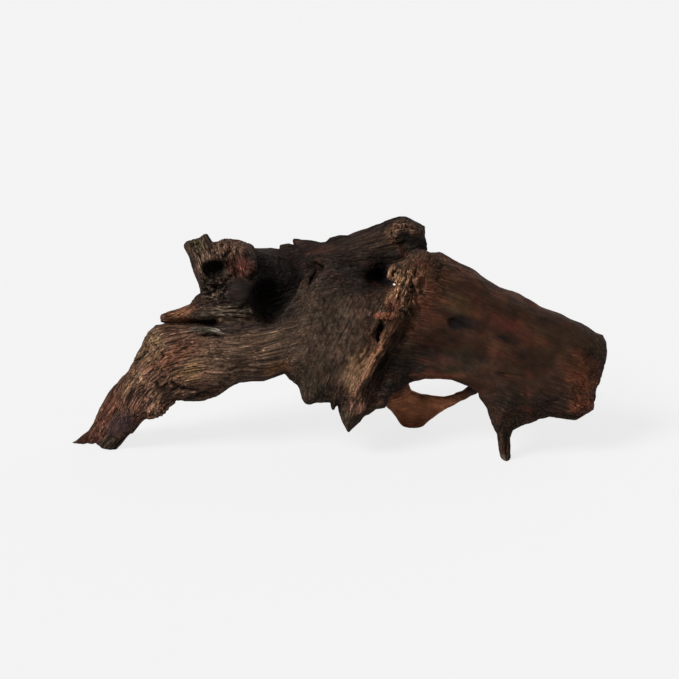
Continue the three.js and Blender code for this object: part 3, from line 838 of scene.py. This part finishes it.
def relief(u, v, w):
    """How far the grain stands out of the skin, in millimetres, and how rough the skin is."""
    places, shares = grain_at(u, v, w)
    grain = sum(ridges(place) * share for place, share in zip(places, shares.T))
    worn = np.full(len(u), WORN_ELSEWHERE)
    for middle, size, level in WORN:
        worn += (level - worn) * zone(middle, size, u, v, w)
    gnarled = np.zeros(len(u))
    for middle, size, level in GNARLED:
        gnarled = np.maximum(gnarled, level * zone(middle, size, u, v, w))
    curl = even_noise(CURL_LENGTH, u, v, w, 10)
    along_edge = u * math.cos(WRINKLE_SLOPE) + v * math.sin(WRINKLE_SLOPE)
    wrinkles = np.sin(along_edge * FULL_TURN / WRINKLE_PITCH + WRINKLE_CURL * curl)
    height = grain * worn * (1 - GRAIN_LOST_TO_GNARL * gnarled)
    height = height + GNARL_HEIGHT * knots_at(curl, u, v, w) * gnarled
    height = height + WRINKLE_HEIGHT * (zone(*WRINKLED, u, v, w) * wrinkles)
    return height, np.maximum(worn, gnarled)


COARSE = 4
FINE = 0.8
STRIDE = round(COARSE / FINE)
NEAR_SURFACE = 5.6
ALL_WOOD = -9.0
ALL_AIR = 9.0
MARGIN = 9
BATCHES = 12
grid_low = np.array(cad_box[0]) / MM - MARGIN
grid_low[2] = -COARSE
grid_size = np.array(cad_box[1]) / MM + MARGIN - grid_low


def grid_points(*counts):
    """Every place on a grid of whole numbers, one to a row."""
    axes = [np.arange(count) for count in counts]
    return np.stack(np.meshgrid(*axes, indexing="ij"), axis=-1).reshape(-1, 3)


# Only the coarse cells near the surface are sampled finely; the rest is all wood or all air
coarse_counts = np.ceil(grid_size / COARSE).astype(int)
cells = grid_points(*coarse_counts)
middles = wood_at(grid_low + (cells + 0.5) * COARSE)
field = np.where(middles < 0, ALL_WOOD, ALL_AIR).astype(np.float32).reshape(coarse_counts)
for axis in range(3):
    field = np.repeat(field, STRIDE, axis=axis)
close = cells[np.abs(middles) < NEAR_SURFACE]
fine_cells = (close[:, None, :] * STRIDE + grid_points(STRIDE, STRIDE, STRIDE)).reshape(-1, 3)
for some in np.array_split(fine_cells, BATCHES):
    field[tuple(some.T)] = wood_at(grid_low + some * FINE)

BARELY_WOOD = -0.01
SETTLE_ROUNDS = 6


def settle(values):
    """Fills a corner wherever the wood would touch itself only along an edge."""
    for axis in range(3):
        f = np.moveaxis(values, axis, 0)
        corners = [f[:, :-1, :-1], f[:, 1:, :-1], f[:, :-1, 1:], f[:, 1:, 1:]]
        a, b, c, d = [corner < 0 for corner in corners]
        crossed = (a == d) & (b == c) & (a != b)
        for corner in corners:
            corner[crossed & (corner >= 0)] = BARELY_WOOD
    return values


for _ in range(SETTLE_ROUNDS):
    field = settle(field)


def skin_of(values):
    """A closed skin where a field of samples changes sign: its points and its triangles."""
    inside = values < 0
    corners = grid_points(2, 2, 2)
    shape = np.array(values.shape) - 1
    full = sum(inside[tuple(slice(c, c + n) for c, n in zip(corner, shape))].astype(np.int8)
               for corner in corners)
    mixed = (full > 0) & (full < 8)
    ids = np.argwhere(mixed)
    number = np.full(shape, -1)
    number[mixed] = np.arange(len(ids))
    total = np.zeros((len(ids), 3))
    count = np.zeros(len(ids))
    for axis in range(3):
        for corner in corners[corners[:, axis] == 0]:
            step = np.eye(3, dtype=int)[axis]
            a = values[tuple((ids + corner).T)]
            b = values[tuple((ids + corner + step).T)]
            cut = (a < 0) != (b < 0)
            t = np.where(cut, a / np.where(cut, a - b, 1), 0)
            total += np.where(cut, 1, 0)[:, None] * (corner + t[:, None] * step)
            count += cut
    points = ids + total / count[:, None]
    quads = []
    for axis in range(3):
        p, q = np.eye(3, dtype=int)[(axis + 1) % 3], np.eye(3, dtype=int)[(axis + 2) % 3]
        start = np.argwhere(np.diff(inside, axis=axis))
        ring = np.stack([number[tuple((start - move).T)] for move in (p + q, q, 0 * p, p)], axis=1)
        leaving = inside[tuple(start.T)]
        quads.append(np.where(leaving[:, None], ring, ring[:, ::-1]))
    quads = np.concatenate(quads)
    one = np.linalg.norm(points[quads[:, 0]] - points[quads[:, 2]], axis=1)
    other = np.linalg.norm(points[quads[:, 1]] - points[quads[:, 3]], axis=1)
    turned = np.where((one < other)[:, None], quads, np.roll(quads, -1, axis=1))
    return points, np.concatenate([turned[:, [0, 1, 2]], turned[:, [0, 2, 3]]])


points, triangles = skin_of(field)
points = grid_low + points * FINE

LEAST_STEEP = 0.3
MOST_MOVE = 0.6
PULL_ROUNDS = 2


def slope_at(places):
    """The field's slope, from small steps to either side."""
    small = 0.2
    return np.stack([
        (wood_at(places + small * step) - wood_at(places - small * step)) / (2 * small)
        for step in np.eye(3)
    ], axis=1)


# The skin is pulled onto the wood's own surface, which the grid only comes near
slope = slope_at(points)
steep = np.maximum((slope ** 2).sum(axis=1), LEAST_STEEP)
for _ in range(PULL_ROUNDS):
    move = (wood_at(points) / steep)[:, None] * slope
    points -= np.clip(move, -MOST_MOVE, MOST_MOVE)
points[:, 2] = np.maximum(points[:, 2], 0)


def outward(places, faces):
    """The unit normal at each point."""
    a, b, c = (places[faces[:, k]] for k in range(3))
    face_normal = np.cross(b - a, c - a)
    total = np.zeros(places.shape)
    for k in range(3):
        for axis in range(3):
            total[:, axis] += np.bincount(faces[:, k], face_normal[:, axis], len(places))
    return total / np.maximum(np.linalg.norm(total, axis=1), 1e-9)[:, None]


# Near the ground the grain pushes the skin sideways only, and not at all on the soles
FOOT_HEIGHT = 3
SOLE_HEIGHT = 1
height, rough_share = relief(*picture_place(points))
normal = outward(points, triangles)
normal[:, 2] *= smooth_step(0, FOOT_HEIGHT, points[:, 2])
height *= smooth_step(0, SOLE_HEIGHT, points[:, 2])
skin_points = points + normal * height[:, None]
skin_points[:, 2] = np.maximum(skin_points[:, 2], 0)

rough_mesh = bpy.data.meshes.new("rough")
rough_mesh.from_pydata((skin_points * MM).tolist(), [], triangles.tolist())
rough = bpy.data.objects.new("rough", rough_mesh)
bpy.context.scene.collection.objects.link(rough)
MOST_TRIANGLES = 196000
thin = rough.modifiers.new("fewer triangles", "DECIMATE")
thin.ratio = min(1, MOST_TRIANGLES / len(triangles))
shown = rough.evaluated_get(bpy.context.evaluated_depsgraph_get())
wood_mesh = bpy.data.meshes.new_from_object(shown)
bpy.data.objects.remove(rough)
bpy.data.meshes.remove(rough_mesh)
wood_mesh.name = "driftwood_wood"
wood_mesh.shade_smooth()

ON_GROUND = 0.01
thinned_points = np.empty(len(wood_mesh.vertices) * 3)
wood_mesh.vertices.foreach_get("co", thinned_points)
thinned_points = thinned_points.reshape(-1, 3) / MM
thinned_points[:, 2] = np.where(thinned_points[:, 2] < ON_GROUND, 0, thinned_points[:, 2])
wood_mesh.vertices.foreach_set("co", (thinned_points * MM).ravel())


# The stains and painted light
# Sun, water and soil coloured the wood in patches, so the tone changes softly over it. The dark
# patches in hollows, cracks and the trough are painted shade, and the fin's bright patch is partly
# painted light. They are laid one after another over the bare wood's brown, with edges that wander.
def linear(colour):
    """A colour of 0 to 255, as it looks on screen, as light."""
    c = np.array(colour) / 255
    return np.where(c <= 0.04045, c / 12.92, ((c + 0.055) / 1.055) ** 2.4)


STAIN_AND_PAINTED_LIGHT_EDGE = 1.2
STAIN_AND_PAINTED_LIGHT_CORE = 0.5


def stain_or_painted_light_share(middle, size, turn, u, v, w):
    """1 in the core of a stain or a patch of painted light, falling to 0 past its edge."""
    du, dv, dw = (x - c for x, c in zip((u, v, w), middle))
    along = (du * math.cos(turn) + dv * math.sin(turn)) / size[0]
    aside = (dv * math.cos(turn) - du * math.sin(turn)) / size[1]
    away = np.sqrt(along ** 2 + aside ** 2 + (dw / size[2]) ** 2)
    return smooth_step(STAIN_AND_PAINTED_LIGHT_EDGE, STAIN_AND_PAINTED_LIGHT_CORE, away)


# The edges of the stains and painted patches wander this far along u, v and w, each with its own seed
EDGE_WANDER = ((3, 20), (2, 21), (3, 22))
EDGE_WANDER_LENGTH = 8
u, v, w = picture_place(thinned_points)
wandering = [
    x + far * even_noise(EDGE_WANDER_LENGTH, u, v, w, seed)
    for x, (far, seed) in zip((u, v, w), EDGE_WANDER)
]
tone = np.tile(linear(DARK_WOOD), (len(thinned_points), 1))
every_stain_and_painted_light = LEG_STAINS_AND_PAINTED_SHADE + TRUNK_STAINS_AND_PAINTED_SHADE + WALL_STAINS_AND_PAINTED_SHADE + BURL_STAINS_AND_PAINTED_SHADE + RIM_STAINS_AND_PAINTED_SHADE + FOOT_STAINS_AND_PAINTED_LIGHT
for middle, size, turn, colour, most in every_stain_and_painted_light:
    share = most * stain_or_painted_light_share(middle, size, math.radians(turn), *wandering)
    tone += (linear(colour) - tone) * share[:, None]

# Blotches lean with the trunk and show most on it: the colour, the length and the seed
BLOTCHES = [((78, 40, 28), 12, 30), ((44, 37, 22), 15, 31), ((28, 21, 19), 11, 32)]
BLOTCH_FROM = 0.1
BLOTCH_TO = 0.7
BLOTCH_LEAN = 0.4
BLOTCH_NARROW = 1.8
BLOTCH_SHARE = 0.1
BLOTCH_SHARE_ON_TRUNK = 0.3
TRUNK_STARTS = (10, 60)
for colour, length, seed in BLOTCHES:
    leaning = (v + BLOTCH_LEAN * u) / length * BLOTCH_NARROW
    blotch = noise(u / length, leaning, w / length, seed)
    share = smooth_step(BLOTCH_FROM, BLOTCH_TO, blotch)
    share = share * (BLOTCH_SHARE + BLOTCH_SHARE_ON_TRUNK * smooth_step(*TRUNK_STARTS, u))
    tone += (linear(colour) - tone) * share[:, None]

# Small patches are lighter or darker: how much, their lengths along u, v and w, and the seed
BROAD_PATCHES = (0.2, (10, 6, 10), 23)
SMALL_PATCHES = (0.26, (2.6, 3.6, 2.6), 24)
MOTTLES = (0.75, (1.3, 2.1, 2), 25)
PLAIN_PATCHES = (0.16, (4.5, 4.5, 4.5), 26)
MOTTLED = ((-4, 90, 18), (36, 44, 40))


def patches(kind):
    """How much lighter or darker each point is."""
    much, (along_u, along_v, along_w), seed = kind
    return much * noise(u / along_u, v / along_v, w / along_w, seed)


patchy = 1 + patches(BROAD_PATCHES) + patches(SMALL_PATCHES)
patchy = patchy + zone(*MOTTLED, u, v, w) * patches(MOTTLES) + patches(PLAIN_PATCHES)
tone = tone * patchy[:, None]

# Each point takes its height and roughness from the full skin's nearest point
tree_of_skin = KDTree(len(points))
for i, place in enumerate(skin_points.tolist()):
    tree_of_skin.insert(place, i)
tree_of_skin.balance()
nearest = np.array([tree_of_skin.find(place)[1] for place in thinned_points.tolist()])
places, shares = grain_at(u, v, w)


def keep(name, kind, field_name, values):
    """Stores a value at every vertex for the material to read."""
    layer = wood_mesh.attributes.new(name, kind, "POINT")
    layer.data.foreach_set(field_name, np.asarray(values, dtype=np.float32).ravel())


GRAIN_SETS = ("grain_left", "grain_right", "grain_rim")
keep("tone", "FLOAT_COLOR", "color", np.column_stack([tone, np.ones(len(tone))]))
for name, place in zip(GRAIN_SETS, places):
    keep(name, "FLOAT_VECTOR", "vector", place)
keep("grain_shares", "FLOAT_VECTOR", "vector", shares)
keep("height", "FLOAT", "value", height[nearest])
keep("tangled", "FLOAT", "value", tangled(u, v, w))
keep("roughness", "FLOAT", "value", rough_share[nearest])


# The finish
# Bare wood with no coating, with hardly a sheen. The relief's height darkens the grooves between
# the fibres and lightens the ridges: partly the wood's own weathering, partly painted shade and
# painted highlight. The patterns follow the grain that the mesh stores.
wood = bpy.data.materials.new("weathered_wood")
wood.use_nodes = True
tree = wood.node_tree
shader = tree.nodes["Principled BSDF"]


def node(kind, **settings):
    """A new node with its settings."""
    new = tree.nodes.new(kind)
    for name, value in settings.items():
        setattr(new, name, value)
    return new


def joined(target, value):
    """Sets a socket to a number, or joins another node's output to it."""
    if isinstance(value, bpy.types.NodeSocket):
        tree.links.new(value, target)
    else:
        target.default_value = value


def maths(operation, a, b=0.0):
    """One sum of two values."""
    new = node("ShaderNodeMath", operation=operation)
    joined(new.inputs[0], a)
    joined(new.inputs[1], b)
    return new.outputs[0]


def ranged(value, from_low, from_high, to_low, to_high):
    """A value taken from one range to another, and held within it."""
    new = node("ShaderNodeMapRange")
    for socket, one in zip(new.inputs, (value, from_low, from_high, to_low, to_high)):
        joined(socket, one)
    return new.outputs[0]


def stored(name, output):
    """A value that the mesh stores at its points."""
    return node("ShaderNodeAttribute", attribute_name=name).outputs[output]


def scaled(colour, by):
    """A colour made brighter or darker."""
    new = node("ShaderNodeVectorMath", operation="SCALE")
    joined(new.inputs[0], colour)
    joined(new.inputs["Scale"], by)
    return new.outputs[0]


PATTERN_ROUGHNESS = 0.62


def drawn_pattern(name, length, width, detail, seed):
    """Noise drawn out along one set of grain places, of a length and a width in millimetres."""
    place = node("ShaderNodeVectorMath", operation="MULTIPLY_ADD")
    joined(place.inputs[0], stored(name, "Vector"))
    joined(place.inputs[1], (1 / length, 1 / width, 1 / width))
    joined(place.inputs[2], (seed, seed, seed))
    new = node("ShaderNodeTexNoise")
    joined(new.inputs["Vector"], place.outputs[0])
    joined(new.inputs["Scale"], 1.0)
    joined(new.inputs["Detail"], detail)
    joined(new.inputs["Roughness"], PATTERN_ROUGHNESS)
    return new.outputs[0]


share_parts = node("ShaderNodeSeparateXYZ")
joined(share_parts.inputs[0], stored("grain_shares", "Vector"))


def along_grain(length, width, detail, seed):
    """A drawn-out pattern that follows the grain everywhere."""
    total = 0.0
    for name, share in zip(GRAIN_SETS, share_parts.outputs):
        one_set = drawn_pattern(name, length, width, detail, seed)
        total = maths("ADD", total, maths("MULTIPLY", one_set, share))
    return total


fibres = along_grain(34, 1.3, 3.0, 3.7)
streaks = along_grain(60, 6, 2.0, 11.3)
strands = along_grain(26, 0.9, 1.0, 7.9)
splits = along_grain(34, 2.1, 1.0, 5.1)
loose_hairs = along_grain(11, 3, 1.0, 21.7)


def line_at_middle(value):
    """How far a pattern is from its middle value, which it crosses along thin lines."""
    return maths("ABSOLUTE", maths("SUBTRACT", value, 0.5))


GRIT_PER_METRE = 650.0
grit = node("ShaderNodeTexNoise")
joined(grit.inputs["Vector"], node("ShaderNodeTexCoord").outputs["Object"])
joined(grit.inputs["Scale"], GRIT_PER_METRE)
joined(grit.inputs["Detail"], 2.0)

# Each effect takes what it reads from its first range to a second one, of brightness
FIBRE_RANGE = (0.38, 0.62)
brightness = ranged(fibres, *FIBRE_RANGE, 0.2, 1.8)
for effect in (
    ranged(line_at_middle(streaks), 0.0, 0.02, 0.3, 1.0),
    ranged(line_at_middle(splits), 0.0, 0.05, 0.35, 1.12),
    # Painted shade and painted highlight: the grooves of the relief are darkened and its ridges
    # lightened
    ranged(stored("height", "Fac"), -1.6, 1.6, 0.15, 1.9),
    ranged(strands, 0.6, 0.7, 1.0, 2.5),
    ranged(grit.outputs[0], 0.3, 0.7, 0.55, 1.45),
):
    brightness = maths("MULTIPLY", brightness, effect)

# Smooth wood is plain: the effects fade there
skin_roughness = stored("roughness", "Fac")
plainness = ranged(skin_roughness, 0.2, 0.9, 0.84, 0.0)
brightness = maths("MULTIPLY", brightness, maths("SUBTRACT", 1.0, plainness))
brightness = maths("ADD", brightness, plainness)

# Loose hairs are pale lines over darker wood
PALE_HAIR = (128, 112, 94)
PALE_SHARE = 0.35
tangled_share = stored("tangled", "Fac")
hairs = ranged(line_at_middle(loose_hairs), 0.0, 0.08, 1.0, 0.0)
lit_hairs = maths("MULTIPLY", tangled_share, ranged(hairs, 0.0, 1.0, -0.5, 2.2))
brightness = maths("MULTIPLY", brightness, maths("ADD", lit_hairs, 1.0))
paleness = maths("MULTIPLY", maths("MULTIPLY", hairs, tangled_share), PALE_SHARE)
with_hairs = node("ShaderNodeVectorMath", operation="ADD")
joined(with_hairs.inputs[0], scaled(stored("tone", "Color"), brightness))
joined(with_hairs.inputs[1], scaled(tuple(linear(PALE_HAIR)), paleness))
joined(shader.inputs["Base Color"], with_hairs.outputs[0])
joined(shader.inputs["Roughness"], ranged(fibres, *FIBRE_RANGE, 0.85, 0.62))
FAINT_SHEEN = 0.08
shader.inputs["Specular IOR Level"].default_value = FAINT_SHEEN

BUMP_DEPTH = 0.0012
GRIT_HEIGHT = 0.3
HAIR_HEIGHT = 0.4
bump = node("ShaderNodeBump")
joined(bump.inputs["Strength"], ranged(skin_roughness, 0.15, 0.7, 0.25, 1.0))
bump.inputs["Distance"].default_value = BUMP_DEPTH
dips = ranged(line_at_middle(splits), 0.0, 0.06, -0.35, 0.0)
raised = maths("ADD", maths("ADD", fibres, dips), maths("MULTIPLY", grit.outputs[0], GRIT_HEIGHT))
raised_hairs = maths("MULTIPLY", tangled_share, maths("MULTIPLY", hairs, HAIR_HEIGHT))
raised = maths("ADD", raised, raised_hairs)
joined(bump.inputs["Height"], raised)
joined(shader.inputs["Normal"], bump.outputs[0])
wood_mesh.materials.append(wood)

driftwood_wood = bpy.data.objects.new("driftwood_wood", wood_mesh)
bpy.context.scene.collection.objects.link(driftwood_wood)
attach(driftwood_wood, "root")
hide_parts("driftwood")


# The floor, the light and the camera
# A pale seamless ground and background, with one soft sun from the upper left in front and
# weak light from all round. The ground shows the camera a faint shadow of the driftwood.
PALE = 0.888
ROUND_LIGHT = 0.3
SUN_STRENGTH = 3.8
SUN_SPREAD = 25
SUN_FROM = Vector((-0.9, -0.8, 1.0))
BACK_STRENGTH = 0.9
BACK_SPREAD = 60
BACK_FROM = Vector((0.7, 1.0, 0.5))
SHADOW_SHARE = 0.12
GROUND_BOUNCE = 0.5


def seen_and_lit(tree, seen, lit):
    """One shader for what the camera sees, and another for the light that it gives."""
    mix = tree.nodes.new("ShaderNodeMixShader")
    tree.links.new(tree.nodes.new("ShaderNodeLightPath").outputs["Is Camera Ray"], mix.inputs[0])
    tree.links.new(lit.outputs[0], mix.inputs[1])
    tree.links.new(seen.outputs[0], mix.inputs[2])
    return mix


def shader_of(tree, kind, colour, strength=None):
    """A plain shader of one grey."""
    new = tree.nodes.new(kind)
    new.inputs["Color"].default_value = (colour, colour, colour, 1)
    if strength is not None:
        new.inputs["Strength"].default_value = strength
    return new


ground = bpy.data.materials.new("pale_ground")
ground.use_nodes = True
ground_tree = ground.node_tree
ground_tree.nodes.clear()
sun_share = SUN_STRENGTH / math.pi * SUN_FROM.normalized().z + ROUND_LIGHT
matt = shader_of(ground_tree, "ShaderNodeBsdfDiffuse", SHADOW_SHARE * PALE / sun_share)
glow = shader_of(ground_tree, "ShaderNodeEmission", PALE, 1 - SHADOW_SHARE)
both = ground_tree.nodes.new("ShaderNodeAddShader")
ground_tree.links.new(matt.outputs[0], both.inputs[0])
ground_tree.links.new(glow.outputs[0], both.inputs[1])
dim = shader_of(ground_tree, "ShaderNodeBsdfDiffuse", GROUND_BOUNCE)
ground_out = ground_tree.nodes.new("ShaderNodeOutputMaterial")
ground_look = seen_and_lit(ground_tree, both, dim)
ground_tree.links.new(ground_look.outputs[0], ground_out.inputs[0])

FLOOR_REACH = 6
floor_mesh = bpy.data.meshes.new("floor")
floor_corners = [(x * FLOOR_REACH, y * FLOOR_REACH, 0) for x, y in ((-1, -1), (1, -1), (1, 1), (-1, 1))]
floor_mesh.from_pydata(floor_corners, [], [(0, 1, 2, 3)])
floor_mesh.materials.append(ground)
floor = bpy.data.objects.new("floor", floor_mesh)
bpy.context.scene.collection.objects.link(floor)

scene = bpy.context.scene
scene.view_settings.view_transform = "Standard"
world = bpy.data.worlds.new("soft_room")
scene.world = world
world.use_nodes = True
world_tree = world.node_tree
world_tree.nodes.clear()
seen_world = shader_of(world_tree, "ShaderNodeBackground", PALE, 1)
lit_world = shader_of(world_tree, "ShaderNodeBackground", ROUND_LIGHT, 1)
world_out = world_tree.nodes.new("ShaderNodeOutputWorld")
world_look = seen_and_lit(world_tree, seen_world, lit_world)
world_tree.links.new(world_look.outputs[0], world_out.inputs[0])

for name, strength, spread, come_from in (
    ("sun", SUN_STRENGTH, SUN_SPREAD, SUN_FROM),
    ("back_light", BACK_STRENGTH, BACK_SPREAD, BACK_FROM),
):
    light = bpy.data.lights.new(name, "SUN")
    light.energy = strength
    light.angle = math.radians(spread)
    lamp = bpy.data.objects.new(name, light)
    lamp.rotation_euler = (-come_from).to_track_quat("-Z", "Y").to_euler()
    scene.collection.objects.link(lamp)

camera_data = bpy.data.cameras.new("camera")
camera = bpy.data.objects.new("camera", camera_data)
scene.collection.objects.link(camera)
aim = Vector(TARGET) * MM
distance = VIEW_DISTANCE * MM
camera.location = aim + distance * Vector((0, -math.cos(VIEW_ELEVATION), math.sin(VIEW_ELEVATION)))
camera.rotation_euler = (aim - camera.location).to_track_quat("-Z", "Y").to_euler()
PICTURE_PIXELS = 679
MM_PER_PIXEL = 0.7
camera_data.angle = 2 * math.atan(PICTURE_PIXELS * MM_PER_PIXEL / 2 / VIEW_DISTANCE)
scene.camera = camera
